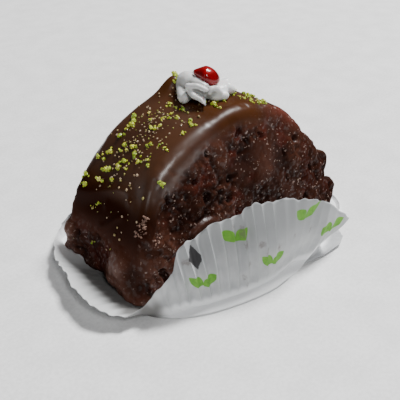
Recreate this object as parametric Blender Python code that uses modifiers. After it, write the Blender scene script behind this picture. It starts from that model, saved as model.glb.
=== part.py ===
"""Half-round slice of glazed sponge cake, topped with piped cream and a cherry, in its pleated paper case.

Metres, +Z up. The origin is under the middle of the slice, on the table. X runs along the slice,
and Y goes from the cut face in front, at -Y, to the cut face at the back.
"""

import math
import random

import bmesh
import bpy
import numpy as np
from mathutils import Vector, noise

MM = 0.001
CLEAR = 0.3 * MM

# The slice: half an ellipse standing on its flat side, with both cut faces leaning in
SLICE_BASE = 0.7 * MM
SLICE_TOP = 54.4 * MM
HALF_WIDTH = 50 * MM
HALF_DEPTH = 24.7 * MM
FRONT_LEAN = 0.190
BACK_LEAN = 0.135

# The glaze over the round side
GLAZE_THICK = 3.6 * MM
LIP_RADIUS = 3.2 * MM
LIP_ZONE = 6 * MM
ARCH_STEPS = 60
LIP_STEPS = 4
DEPTH_STEPS = 7
RIPPLE = 0.35 * MM
RIPPLE_SIZE = 14 * MM
FOOT_LUMP = 1.4 * MM
FOOT_LUMP_SIZE = 9 * MM
FOOT_HEIGHT = 13 * MM

# Uneven spots of the glaze: angle from the left foot, share of the depth from the front,
# height in mm, reach as an angle, reach as a share of the depth
GLAZE_SPOTS = (
    (48, 0.05, 1.3, 12, 0.25),
    (77, 0.10, -0.9, 12, 0.30),
    (18, 0.00, -1.2, 10, 0.25),
    (30, 0.55, 0.7, 5, 0.50),
    (87, 0.93, 5.0, 6.5, 0.11),
    (122, 0.15, 0.8, 8, 0.35),
    (134, 0.15, -1.0, 6, 0.35),
    (142, 0.10, -2.2, 4, 0.25),
    (153, 0.10, 1.6, 5, 0.25),
    (162, 0.10, -0.8, 4, 0.25),
    (171, 0.12, 2.0, 6, 0.25),
)

# Pistachio crumbs on the glaze: angle and share of a cluster's middle, its reach, and how many
CRUMB_CLUSTERS = (
    (38, 0.90, 4, 0.08, 3),
    (41, 0.72, 5, 0.12, 9),
    (50, 0.60, 5, 0.14, 11),
    (60, 0.45, 5, 0.14, 8),
    (68, 0.50, 6, 0.16, 7),
    (76, 0.36, 5, 0.14, 7),
    (84, 0.26, 5, 0.10, 3),
    (104, 0.22, 6, 0.14, 5),
    (112, 0.45, 5, 0.18, 5),
    (126, 0.45, 8, 0.25, 5),
    (47, 0.05, 1, 0.02, 1),
    (88, 0.92, 2, 0.03, 2),
    (28, 0.64, 1, 0.02, 1),
    (11, 0.62, 1, 0.02, 1),
)
CRUMB_RADIUS = (0.75 * MM, 1.35 * MM)
CRUMB_GAP = 0.5 * MM
CRUMB_SINK = 0.35
CRUMB_SEED = 7

# The sponge inside, with its craggy cut faces
SPONGE_COLUMNS = 40
SPONGE_ROWS = 20
SIDE_ANGLE = math.radians(10)
CRAG_SIZE = 5.5 * MM
CRAG_HEIGHT = 3.2 * MM
BULGE = 1.0 * MM

# The piped cream and the cherry on it
CREAM_X, CREAM_Y = 3 * MM, 5.5 * MM
CREAM_RADIUS = 8.6 * MM
CREAM_HEIGHT = 7.0 * MM
CREAM_LOBES = 7
CREAM_LOBE_DEPTH = 0.24
CREAM_TWIST = 0.9
CHERRY_PLACE = Vector((3.6 * MM, 5.0 * MM, 61.3 * MM))
CHERRY_HALF = Vector((4.4 * MM, 4.1 * MM, 3.0 * MM))
CHERRY_TURN = math.radians(-25)

# The paper case: where the wall leaves the table (x, y) and where its rim is (x, y, z), in mm,
# from the left end along the front to the right, then round the back
PAPER_THICK = 0.4 * MM
PLEATS = 72
PLEAT_DEPTH = 0.85 * MM
BAND = 0.12
WALL_ROWS = 4
WALL_BOW = 1.6 * MM
RIM_LOWEST = 1.5 * MM
CASE_STATIONS = (
    ((-53.3, 13), (-60.0, 13.5, 6)),
    ((-53.4, 2), (-61.8, 5, 6)),
    ((-53.6, -8), (-65.0, -9, 7)),
    ((-53.4, -18), (-65.0, -19, 7)),
    ((-52.4, -25), (-59.5, -27, 5)),
    ((-50.0, -29), (-51.2, -29.2, 4.5)),
    ((-45.2, -33.5), (-43.5, -30, 11)),
    ((-39.0, -38), (-38.2, -31, 19)),
    ((-31.0, -41.7), (-30.5, -31.5, 26)),
    ((-20.0, -44.7), (-18.5, -36, 30)),
    ((-9.0, -46.4), (-10, -39.5, 34)),
    ((2.0, -45.5), (4, -43, 33)),
    ((8.0, -43.8), (17.0, -45.6, 25)),
    ((13.0, -42.6), (29.0, -45.6, 16)),
    ((17.0, -41.5), (33.0, -43, 1.5)),
    ((27.0, -37), (38.0, -34.5, 1.5)),
    ((45.0, -30.5), (47.5, -28.5, 3)),
    ((54.5, -20), (56.5, -19, 5)),
    ((56.5, 3), (58.5, 4, 8)),
    ((55.5, 21), (57.0, 23, 12)),
    ((47.0, 30), (47.5, 32, 16)),
    ((34.0, 30), (34.0, 32, 18)),
    ((12.0, 31), (12.0, 32, 22)),
    ((-12.0, 31), (-12.0, 32, 20)),
    ((-34.0, 30.5), (-34.5, 32, 12)),
    ((-47.0, 29.0), (-47.5, 30.5, 8)),
    ((-52.5, 22.5), (-53.5, 25.0, 6)),
)


def arch(angle, inset=0.0):
    """Point (x, z) of the slice's round side, moved inwards along its normal by inset."""
    height = SLICE_TOP - SLICE_BASE
    out = Vector((-height * math.cos(angle), HALF_WIDTH * math.sin(angle))).normalized()
    x = -HALF_WIDTH * math.cos(angle) - out.x * inset
    z = SLICE_BASE + height * math.sin(angle) - out.y * inset
    return x, z


def cut_faces(z):
    """The y of the front and of the back cut face at height z."""
    return -HALF_DEPTH + FRONT_LEAN * z, HALF_DEPTH - BACK_LEAN * z


def depth_marks(z):
    """Nominal and real y of the ends of both lips at height z: the lips keep their size up the slice."""
    front, back = cut_faces(z)
    nominal = (-HALF_DEPTH, -HALF_DEPTH + LIP_ZONE, HALF_DEPTH - LIP_ZONE, HALF_DEPTH)
    return nominal, (front, front + LIP_ZONE, back - LIP_ZONE, back)


def depth_at(nominal_y, z):
    """Real y of a nominal one: the stretch between the two lips shortens towards the top."""
    nominal, real = depth_marks(z)
    return float(np.interp(nominal_y, nominal, real))


def share_at(y, z):
    """Share of the depth, from the front, of a real y."""
    nominal, real = depth_marks(z)
    return (float(np.interp(y, real, nominal)) + HALF_DEPTH) / (2 * HALF_DEPTH)


def glaze_swell(angle, share):
    """How far the glaze stands proud of the plain arch: named spots, soft ripples, lumpy feet."""
    swell = 0.0
    for spot_angle, spot_share, height, reach, share_reach in GLAZE_SPOTS:
        far = ((math.degrees(angle) - spot_angle) / reach) ** 2 + ((share - spot_share) / share_reach) ** 2
        swell += height * MM * math.exp(-far)
    x, z = arch(angle)
    spot = Vector((x, share * 2 * HALF_DEPTH, z))
    under_cream = math.exp(-((x - CREAM_X) / (1.4 * CREAM_RADIUS)) ** 2)
    swell += RIPPLE * noise.noise(spot / RIPPLE_SIZE) * (1 - under_cream)
    foot = max(0.0, 1 - z / FOOT_HEIGHT)
    swell += FOOT_LUMP * foot * (0.3 + noise.noise(spot / FOOT_LUMP_SIZE))
    return swell


def glaze_point(angle, nominal, inset):
    """Point of the glaze: the swell is whole on the outside and dies out towards the sponge."""
    x, z = arch(angle, inset)
    share = (nominal + HALF_DEPTH) / (2 * HALF_DEPTH)
    swell = glaze_swell(angle, share) * max(0.0, 1 - inset / GLAZE_THICK)
    x, z = arch(angle, inset - swell)
    return Vector((x, depth_at(nominal, z), z))


def material(name, color, roughness, coat=0.0):
    made = bpy.data.materials.new(name)
    made.use_nodes = True
    shader = made.node_tree.nodes["Principled BSDF"]
    shader.inputs["Base Color"].default_value = (*color, 1)
    shader.inputs["Roughness"].default_value = roughness
    shader.inputs["Metallic"].default_value = 0
    shader.inputs["Coat Weight"].default_value = coat
    return made


def object_from(bm, name, collection, finish):
    """Turns a bmesh into a smooth-shaded object of the collection, with its faces pointing out."""
    bmesh.ops.recalc_face_normals(bm, faces=bm.faces[:])
    mesh = bpy.data.meshes.new(name)
    bm.to_mesh(mesh)
    bm.free()
    mesh.shade_smooth()
    mesh.materials.append(finish)
    obj = bpy.data.objects.new(name, mesh)
    collection.objects.link(obj)
    return obj


def make_sponge(collection):
    """A grid laid over the cut face, pushed through to the back, then craggy on both faces."""
    bm = bmesh.new()
    bmesh.ops.create_grid(bm, x_segments=SPONGE_COLUMNS, y_segments=SPONGE_ROWS, size=1)
    pushed = bmesh.ops.extrude_face_region(bm, geom=bm.faces[:])["geom"]
    for vert in (item for item in pushed if isinstance(item, bmesh.types.BMVert)):
        vert.co.z = 1
    inset = GLAZE_THICK + CLEAR
    for vert in bm.verts:
        across, up, at_back = (vert.co.x + 1) / 2, (vert.co.y + 1) / 2, vert.co.z > 0.5
        angle = SIDE_ANGLE + (math.pi - 2 * SIDE_ANGLE) * across
        top_x, top_z = arch(angle, inset)
        foot_x = (HALF_WIDTH - inset) * (2 * across - 1)
        x = foot_x + (top_x - foot_x) * up
        z = SLICE_BASE + (top_z - SLICE_BASE) * up
        inner = min(1.0, 6 * across, 6 * (1 - across), 5 * (1 - up))
        spot = Vector((x, 10 * HALF_DEPTH * at_back, z)) / CRAG_SIZE
        clods = 0.45 - noise.voronoi(spot)[0][0] + 0.5 * noise.noise(spot * 0.4)
        relief = inner * (BULGE + CRAG_HEIGHT * clods) - CLEAR
        front, back = cut_faces(z)
        vert.co = (x, back + relief if at_back else front - relief, z)
    return object_from(bm, "sponge", collection, material("cocoa_sponge", (0.045, 0.017, 0.011), 0.45))


def glaze_profile():
    """Closed outline of the glaze's cross-section, as (nominal y, inset), both lips rounded."""
    end = HALF_DEPTH - LIP_RADIUS
    lip = [math.pi / 2 * step / LIP_STEPS for step in range(LIP_STEPS + 1)]
    outside = [(-end - LIP_RADIUS * math.cos(a), LIP_RADIUS * (1 - math.sin(a))) for a in lip]
    outside += [(y, 0.0) for y in np.linspace(-end, end, DEPTH_STEPS + 1)[1:-1]]
    outside += [(-y, inset) for y, inset in reversed(outside[: LIP_STEPS + 1])]
    inside = [(y, GLAZE_THICK) for y in np.linspace(HALF_DEPTH - CLEAR, -HALF_DEPTH + CLEAR, 4)]
    return outside + inside


def make_glaze(collection):
    """The cross-section spun half a turn about Y from foot to foot, capped, then bent to the arch."""
    bm = bmesh.new()
    ring = [bm.verts.new((-(HALF_WIDTH - inset), y, 0)) for y, inset in glaze_profile()]
    edges = [bm.edges.new((ring[i - 1], ring[i])) for i in range(len(ring))]
    bmesh.ops.spin(bm, geom=ring + edges, cent=(0, 0, 0), axis=(0, 1, 0), angle=math.pi, steps=ARCH_STEPS)
    bmesh.ops.holes_fill(bm, edges=[edge for edge in bm.edges if edge.is_boundary], sides=0)
    for vert in bm.verts:
        inset = HALF_WIDTH - math.hypot(vert.co.x, vert.co.z)
        angle = math.atan2(max(vert.co.z, 0.0), -vert.co.x)
        vert.co = glaze_point(angle, vert.co.y, inset)
    finish = material("dark_glaze", (0.050, 0.018, 0.010), 0.22, 0.6)
    return object_from(bm, "chocolate_glaze", collection, finish)


def crumb_places(draw):
    """Draws each cluster's crumbs in turn, and skips one that would touch another or the cream."""
    placed = []
    for angle_deg, share, reach, share_reach, count in CRUMB_CLUSTERS:
        for _ in range(count):
            angle = math.radians(angle_deg + draw.gauss(0, reach))
            at = min(0.97, max(0.03, share + draw.gauss(0, share_reach)))
            radius = draw.uniform(*CRUMB_RADIUS)
            place = glaze_point(angle, (2 * at - 1) * HALF_DEPTH, CRUMB_SINK * radius)
            from_cream = math.hypot(place.x - CREAM_X, place.y - CREAM_Y)
            if from_cream < CREAM_RADIUS * (1 + CREAM_LOBE_DEPTH) + radius + CRUMB_GAP:
                continue
            if all((place - other).length > radius + size + CRUMB_GAP for other, size in placed):
                placed.append((place, radius))
    return placed


def fuse_crumbs(glaze):
    """Small angular crumbs, sunk a third into the glaze and joined to it by one union."""
    draw = random.Random(CRUMB_SEED)
    crumbs = bpy.data.collections.new("crumbs")
    bpy.context.scene.collection.children.link(crumbs)
    for place, radius in crumb_places(draw):
        bm = bmesh.new()
        bmesh.ops.create_icosphere(bm, subdivisions=1, radius=radius)
        for vert in bm.verts:
            vert.co *= draw.uniform(0.75, 1.2)
        bmesh.ops.translate(bm, verts=bm.verts[:], vec=place)
        object_from(bm, "crumb", crumbs, glaze.data.materials[0])
    union = glaze.modifiers.new("crumbs_on_glaze", "BOOLEAN")
    union.operation = "UNION"
    union.operand_type = "COLLECTION"
    union.collection = crumbs
    fused = bpy.data.meshes.new_from_object(glaze.evaluated_get(bpy.context.evaluated_depsgraph_get()))
    glaze.modifiers.remove(union)
    glaze.data = fused
    for crumb in list(crumbs.objects):
        bpy.data.objects.remove(crumb)
    bpy.data.collections.remove(crumbs)


def glaze_top(x, y):
    """Height of the outside of the glaze over (x, y), near the crown."""
    angle = math.acos(-x / HALF_WIDTH)
    _, z = arch(angle)
    return z + glaze_swell(angle, share_at(y, z))


def cherry_local(x, y):
    """A plan position in the cherry's own turned axes, as shares of its half sizes."""
    dx, dy = x - CHERRY_PLACE.x, y - CHERRY_PLACE.y
    cos, sin = math.cos(CHERRY_TURN), math.sin(CHERRY_TURN)
    return (dx * cos + dy * sin) / CHERRY_HALF.x, (dy * cos - dx * sin) / CHERRY_HALF.y


def cream_outline(rise):
    """Radius and height shares of the piped mound, from its foot (0) over its shoulder to the top (1)."""
    marks = (0.0, 0.2, 0.4, 0.6, 0.8, 1.0)
    radius = np.interp(rise, marks, (0.86, 1.0, 0.94, 0.74, 0.42, 0.0))
    height = np.interp(rise, marks, (0.0, 0.20, 0.45, 0.74, 0.93, 1.0))
    return float(radius), float(height)


def make_cream(collection):
    """A sphere re-formed into a twisted star-tip mound, flat on the glaze and dished under the cherry."""
    bm = bmesh.new()
    bmesh.ops.create_uvsphere(bm, u_segments=42, v_segments=14, radius=1)
    for vert in bm.verts:
        turn = math.atan2(vert.co.y, vert.co.x)
        rise = 2 * math.asin(max(-1.0, min(1.0, vert.co.z))) / math.pi
        radius, height = cream_outline(max(rise, 0.0))
        if rise < 0:
            radius, height = cream_outline(0)[0] * (1 + rise), 0.0
        ridge = 2 * abs(math.cos(CREAM_LOBES * (turn + CREAM_TWIST * max(rise, 0)) / 2)) - 1
        radius *= CREAM_RADIUS * (1 + CREAM_LOBE_DEPTH * ridge)
        x, y = CREAM_X + radius * math.cos(turn), CREAM_Y + radius * math.sin(turn)
        seat = glaze_top(x, y) + 2.2 * CLEAR
        z = seat + (SLICE_TOP + CREAM_HEIGHT - seat) * height
        u, v = cherry_local(x, y)
        if u * u + v * v < 1.3 and rise > 0:
            under = CHERRY_PLACE.z - CHERRY_HALF.z * math.sqrt(max(0.0, 1 - u * u - v * v)) - 2 * CLEAR
            z = max(seat + 1.5 * MM, min(z, under))
        vert.co = (x, y, z)
    return object_from(bm, "cream_rosette", collection, material("white_cream", (0.85, 0.85, 0.84), 0.5))


def make_cherry(collection):
    """A candied half cherry: a flattened ball with one side drawn out."""
    bm = bmesh.new()
    bmesh.ops.create_uvsphere(bm, u_segments=20, v_segments=12, radius=1)
    cos, sin = math.cos(CHERRY_TURN), math.sin(CHERRY_TURN)
    for vert in bm.verts:
        x, y, z = vert.co * CHERRY_HALF
        vert.co = CHERRY_PLACE + Vector((x * cos - y * sin, x * sin + y * cos, z))
    return object_from(bm, "cherry", collection, material("candied_red", (0.45, 0.005, 0.008), 0.12, 1.0))


def closed_curve(points, count):
    """count points of the smooth closed curve through the stations (Catmull-Rom)."""
    points = np.array(points, float)
    at = np.arange(count) * len(points) / count
    index, part = at.astype(int), (at % 1)[:, None]
    p0, p1, p2, p3 = (points[(index + step) % len(points)] for step in (-1, 0, 1, 2))
    bend = 2 * p0 - 5 * p1 + 4 * p2 - p3
    return 0.5 * (2 * p1 + (p2 - p0) * part + bend * part**2 + (3 * p1 - p0 - 3 * p2 + p3) * part**3)


def case_lines(columns):
    """The wall's foot and rim as columns of points, the columns evenly spaced halfway up the wall."""
    foot = closed_curve([(*xy, PAPER_THICK / 2 / MM) for xy, _ in CASE_STATIONS], 1200) * MM
    rim = closed_curve([xyz for _, xyz in CASE_STATIONS], 1200) * MM
    middle = (foot + rim) / 2
    steps = np.linalg.norm(np.roll(middle, -1, axis=0) - middle, axis=1)
    length = np.concatenate([[0], np.cumsum(steps)])
    wanted = np.arange(columns) * length[-1] / columns
    index = np.searchsorted(length, wanted, side="right") - 1
    rim[:, 2] = np.maximum(rim[:, 2], RIM_LOWEST)
    return foot[index], rim[index]


def make_case(collection):
    """Rings grown from a flat disc, then set on the case: base, plain band, pleated wall, rim."""
    columns = 2 * PLEATS
    shares = (-1, 0, *np.linspace(BAND, 1, WALL_ROWS + 1))
    foot, rim = case_lines(columns)
    along = np.roll(foot + rim, -1, axis=0) - np.roll(foot + rim, 1, axis=0)
    outward = np.cross(along, rim - foot)
    outward /= np.linalg.norm(outward, axis=1)[:, None]
    middle = foot.mean(axis=0)
    bm = bmesh.new()
    bmesh.ops.create_circle(bm, cap_ends=True, segments=columns, radius=1)
    edges = bm.edges[:]
    for row in range(1, len(shares)):
        grown = bmesh.ops.extrude_edge_only(bm, edges=edges)["geom"]
        for vert in (item for item in grown if isinstance(item, bmesh.types.BMVert)):
            vert.co *= (row + 1) / row
        edges = [item for item in grown if isinstance(item, bmesh.types.BMEdge) and item.is_boundary]
    for vert in bm.verts:
        column = round(math.atan2(vert.co.y, vert.co.x) / math.tau * columns) % columns
        share = shares[round(vert.co.length) - 1]
        start, end = foot[column], rim[column]
        if share < 0:
            vert.co = start + (middle - start) * 0.04
            continue
        bow = WALL_BOW * math.sin(math.pi * share) * end[2] / (30 * MM)
        pleat = PLEAT_DEPTH * max(0.0, (share - BAND) / (1 - BAND)) * (1 if column % 2 else -1)
        vert.co = start + (end - start) * share + outward[column] * (bow + pleat)
    obj = object_from(bm, "paper_case", collection, material("white_paper", (0.75, 0.76, 0.76), 0.7))
    wall = obj.modifiers.new("paper", "SOLIDIFY")
    wall.thickness = PAPER_THICK
    wall.offset = 0
    return obj


for old in list(bpy.data.objects):
    bpy.data.objects.remove(old)
cake = bpy.data.collections.new("glazed_sponge_slice")
bpy.context.scene.collection.children.link(cake)
make_sponge(cake)
fuse_crumbs(make_glaze(cake))
make_cream(cake)
make_cherry(cake)
make_case(cake)
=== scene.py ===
"""A half-round slice of chocolate-coated sponge in its pleated paper case, lit as for a studio picture.

Metres, +Z up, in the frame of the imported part: X along the slice, -Y towards the cut face in front.
"""

import itertools
import math

import bmesh
import bpy
import numpy as np
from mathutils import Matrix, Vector
from mathutils.bvhtree import BVHTree


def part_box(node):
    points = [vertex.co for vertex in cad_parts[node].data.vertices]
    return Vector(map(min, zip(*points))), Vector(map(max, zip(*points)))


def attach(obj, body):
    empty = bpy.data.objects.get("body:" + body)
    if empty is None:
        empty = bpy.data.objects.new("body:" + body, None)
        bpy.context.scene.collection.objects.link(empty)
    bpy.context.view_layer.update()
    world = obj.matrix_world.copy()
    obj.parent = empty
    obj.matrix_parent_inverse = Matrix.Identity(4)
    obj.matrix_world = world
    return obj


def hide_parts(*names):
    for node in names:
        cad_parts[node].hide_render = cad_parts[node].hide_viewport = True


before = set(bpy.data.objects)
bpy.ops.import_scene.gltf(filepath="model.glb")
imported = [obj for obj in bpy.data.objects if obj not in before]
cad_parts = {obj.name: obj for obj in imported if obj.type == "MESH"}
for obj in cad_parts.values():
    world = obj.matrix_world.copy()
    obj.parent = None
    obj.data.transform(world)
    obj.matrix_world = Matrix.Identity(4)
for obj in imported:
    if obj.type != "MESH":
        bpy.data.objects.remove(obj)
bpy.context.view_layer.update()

# The camera. It looks down on the slice from in front of its left end. Places on the object that
# follow the photograph are given as pixels of its 400 x 400 frame, and meet the object along a ray.
MM = 0.001
PHOTO_PIXELS = 400
LENS_MM = 53.77
SENSOR_MM = 36.0
NEAREST_SEEN = 0.01
CAMERA_PLACE = Vector((-0.1324, -0.1491, 0.1379))
CAMERA_HEADING = Vector((0.655, 0.755, 0)).normalized()
CAMERA_PITCH = math.radians(32.42)


def make_camera():
    data = bpy.data.cameras.new("camera")
    data.lens, data.sensor_width, data.clip_start = LENS_MM, SENSOR_MM, NEAREST_SEEN
    camera = bpy.data.objects.new("camera", data)
    bpy.context.scene.collection.objects.link(camera)
    look = CAMERA_HEADING * math.cos(CAMERA_PITCH) - Vector((0, 0, math.sin(CAMERA_PITCH)))
    camera.location = CAMERA_PLACE
    camera.rotation_euler = look.to_track_quat("-Z", "Y").to_euler()
    bpy.context.scene.camera = camera
    return camera


def pixel_ray(pixel):
    """Direction from the camera through a pixel of the photograph."""
    reach = PHOTO_PIXELS * LENS_MM / SENSOR_MM
    half = PHOTO_PIXELS / 2
    local = Vector(((pixel[0] - half) / reach, (half - pixel[1]) / reach, -1))
    return (camera.rotation_euler.to_matrix() @ local).normalized()


camera = make_camera()

# The slice. Cocoa sponge of half-round section, cut front and back and then coated all round with
# chocolate: smooth over the round side, lumpy where the coat lies on the crags of the cut faces.
# One closed skin is laid over both solids, row by row from the front face over the top to the back.
GLAZE_THICK = 3.6 * MM
CLEAR = 0.3 * MM
core_low, core_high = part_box("sponge")
HALF_WIDTH = core_high.x + GLAZE_THICK + CLEAR
SLICE_BASE = core_low.z
SLICE_TOP = core_high.z + GLAZE_THICK + CLEAR
HALF_DEPTH = 24.7 * MM
FRONT_LEAN = 0.190
BACK_LEAN = 0.095
LIP_RADIUS = 4.4 * MM
LIP_ZONE = 6 * MM

# Two ovals on the cut face, as x and height: a tongue of chocolate, and where the coat has run smooth
SLAB_PLACE = (-20.5 * MM, 18.4 * MM)
SLAB_HALF = (8.5 * MM, 3.8 * MM)
SLAB_HEIGHT = 1.3 * MM
SLAB_SLOPE = 0.12
CALM_PLACE = (10 * MM, 34 * MM)
CALM_HALF = (24 * MM, 11 * MM)
FACE_BULGE = 1.2 * MM
WELD_REACH = 1e-7

COLUMNS = 340
FRONT_ROWS = 104
BACK_ROWS = 52
LIP_ROWS = 9
ROUND_ROWS = 62

# Uneven spots of the coat: angle from the left foot, share of the depth from the front,
# height in mm, reach as an angle, reach as a share of the depth
GLAZE_SPOTS = (
    (48, 0.05, 1.3, 12, 0.25),
    (77, 0.10, -0.9, 12, 0.30),
    (18, 0.00, -1.2, 10, 0.25),
    (87, 0.93, 5.0, 6.5, 0.11),
    (122, 0.15, 0.8, 8, 0.35),
    (134, 0.15, -1.0, 6, 0.35),
    (142, 0.10, -0.6, 4, 0.25),
    (159.8, 0.06, 5.2, 4.6, 0.20),
    (167.5, 0.08, -1.4, 2.0, 0.20),
    (174.5, 0.08, 6.6, 5.0, 0.20),
    (34.8, 0.26, 0.5, 1.5, 0.03),
    (28.4, 0.54, 0.4, 1.8, 0.03),
    (15.6, 0.64, 0.5, 1.6, 0.03),
    (9, 0.80, 1.2, 5, 0.10),
    (7, 0.45, 1.3, 5, 0.12),
    (9, 0.15, 1.0, 5, 0.10),
)


def stacked(*parts):
    """The parts, spread to one common shape, as the last axis of an array."""
    return np.stack(np.broadcast_arrays(*parts), axis=-1)


def lattice(ix, iy, iz, salt):
    """A repeatable random number from 0 to 1 for each point of a whole-number lattice."""
    mixed = (ix * 73856093) ^ (iy * 19349663) ^ (iz * 83492791) ^ (salt * 1013904223)
    mixed = mixed & 0xFFFFFFFF
    mixed = ((mixed ^ (mixed >> 15)) * 2246822519) & 0xFFFFFFFF
    mixed = ((mixed ^ (mixed >> 13)) * 3266489917) & 0xFFFFFFFF
    return ((mixed ^ (mixed >> 16)) & 0xFFFFFF) / 0xFFFFFF


def soft_noise(points, size, salt=0):
    """Smooth noise from -1 to 1, lumps about size across: lattice values, blended by a fifth-power fade."""
    at = points / size
    cell = np.floor(at).astype(np.int64)
    part = at - cell
    part = part**3 * (part * (part * 6 - 15) + 10)
    total = np.zeros(points.shape[:-1])
    for corner in itertools.product((0, 1), repeat=3):
        weight = np.prod(np.where(np.array(corner, bool), part, 1 - part), axis=-1)
        total += weight * lattice(*np.moveaxis(cell + corner, -1, 0), salt)
    return 2 * total - 1


def clods(points, size, salt=0):
    """Domes over scattered seeds: 1 minus the squared distance to the nearest seed, in sizes."""
    at = points / size
    cell = np.floor(at).astype(np.int64)
    nearest = np.full(points.shape[:-1], 9.0)
    for step in itertools.product((-1, 0, 1), repeat=3):
        corner = cell + step
        axes = np.moveaxis(corner, -1, 0)
        seed = corner + np.stack([lattice(*axes, salt + k) for k in range(3)], axis=-1)
        nearest = np.minimum(nearest, ((at - seed) ** 2).sum(axis=-1))
    return 1 - nearest


def fade(value, low, high):
    """0 below low, 1 above high, and a smooth S between them."""
    part = np.clip((value - low) / (high - low), 0, 1)
    return part * part * (3 - 2 * part)


def arch(angle, inset):
    """Round side: x = -a cos, z = base + b sin of the angle, moved inwards along the normal by inset."""
    rise = SLICE_TOP - SLICE_BASE
    out_x, out_z = -rise * np.cos(angle), HALF_WIDTH * np.sin(angle)
    size = np.hypot(out_x, out_z)
    x = -HALF_WIDTH * np.cos(angle) - inset * out_x / size
    z = SLICE_BASE + rise * np.sin(angle) - inset * out_z / size
    return x, z, out_x / size, out_z / size


def depth_at(nominal, z):
    """Real y of a nominal one: both lips keep their size, and the stretch between them shortens upwards."""
    front, back = -HALF_DEPTH + FRONT_LEAN * z, HALF_DEPTH - BACK_LEAN * z
    inner = HALF_DEPTH - LIP_ZONE
    squeeze = (back - front - 2 * LIP_ZONE) / (2 * inner)
    beyond = np.sign(nominal) * np.maximum(np.abs(nominal) - inner, 0)
    return (front + back) / 2 + np.clip(nominal, -inner, inner) * squeeze + beyond


def coat_swell(angle, share):
    """How far the coat stands proud of the plain arch: named spots, the crease, a ripple, lumpy feet."""
    degrees = np.degrees(angle)
    swell = np.zeros(np.broadcast(angle, share).shape)
    for spot_angle, spot_share, height, reach, share_reach in GLAZE_SPOTS:
        far = ((degrees - spot_angle) / reach) ** 2 + ((share - spot_share) / share_reach) ** 2
        swell += height * MM * np.exp(-far)
    x, z, _, _ = arch(angle, 0)
    points = stacked(x, share * 2 * HALF_DEPTH, z)
    swell += 0.35 * MM * soft_noise(points, 14 * MM, 3) * (1 - np.exp(-((x - 3 * MM) / (12 * MM)) ** 2))
    crease = 25.5 + 10.5 * fade(1 - share, 0, 0.7) - 9 * fade(0.25 - share, 0, 0.25)
    below = degrees - crease
    step = 0.55 * np.exp(-((below - 1.5) / 2.2) ** 2) - 0.5 * np.exp(-((below + 4) / 3.5) ** 2)
    swell += MM * step * fade(share, 0.12, 0.42)
    ripple = 19.5 + 9.5 * fade(0.55 - share, 0, 0.3)
    between = fade(share, 0.22, 0.34) * fade(0.6 - share, 0, 0.1)
    swell += 0.7 * MM * np.exp(-((degrees - ripple) / 1.4) ** 2) * between
    foot = fade(13 * MM - z, 0, 13 * MM)
    lumps = 1.5 * (clods(points, 5 * MM, 35) - 0.6) + 1.2 * (clods(points, 2.8 * MM, 36) - 0.6)
    swell += foot * MM * (0.1 + soft_noise(points, 8 * MM, 5) + lumps)
    return swell


def off_oval(x, z, place, half, slope=0.0):
    """Distance from the middle of an oval in its half sizes: 1 on its rim. It climbs by slope along x."""
    return np.hypot((x - place[0]) / half[0], (z - place[1] - slope * (x - place[0])) / half[1])


def crag_relief(points):
    """Height of the coated crags: broad swells, domes of three sizes, and pits where the crumb broke out.

    The domes and pits are strong only in ragged patches, and the coat has run smooth between them.
    """
    bent = points + 1.1 * MM * stacked(*(soft_noise(points, 4 * MM, salt) for salt in (22, 23, 24)))
    calm = fade(1 - off_oval(points[..., 0], points[..., 2], CALM_PLACE, CALM_HALF), 0, 0.5)
    patches = soft_noise(points, 8.5 * MM, 25) + 0.5 * soft_noise(points, 4 * MM, 26)
    ragged = fade(patches - 0.5 * calm, -0.45, 0.45)
    swells = 0.9 * soft_noise(points, 10 * MM, 21)
    domes = 1.35 * (clods(bent, 5.4 * MM, 31) - 0.7) * (0.5 - 0.25 * calm + 0.55 * ragged)
    domes += 0.85 * (clods(bent, 2.9 * MM, 41) - 0.7) * (0.25 + 0.75 * ragged)
    domes += 0.40 * (clods(bent, 1.5 * MM, 51) - 0.7) * (0.1 + 0.9 * ragged)
    pits = 1.5 * fade(soft_noise(bent, 3.6 * MM, 61), 0.35, 0.65) * ragged
    return MM * (swells + domes - pits)


def coat_rows():
    """Each row's share of the face's height, nominal y, inset and turn.

    The turn is 0 on the front face, a quarter circle on the round side and a half circle on the back.
    """
    rows = [(share, -HALF_DEPTH, LIP_RADIUS, 0.0) for share in np.linspace(0, 1, FRONT_ROWS)]
    end = HALF_DEPTH - LIP_RADIUS
    for turn in np.linspace(0, math.pi / 2, LIP_ROWS + 1)[1:]:
        rows.append((1, -end - LIP_RADIUS * math.cos(turn), LIP_RADIUS * (1 - math.sin(turn)), turn))
    rows += [(1, y, 0.0, math.pi / 2) for y in np.linspace(-end, end, ROUND_ROWS)[1:]]
    for turn in np.linspace(math.pi / 2, math.pi, LIP_ROWS + 1)[1:]:
        rows.append((1, end - LIP_RADIUS * math.cos(turn), LIP_RADIUS * (1 - math.sin(turn)), turn))
    rows += [(share, HALF_DEPTH, LIP_RADIUS, math.pi) for share in np.linspace(1, 0, BACK_ROWS)[1:]]
    return np.array(rows).T[:, :, None]


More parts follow.
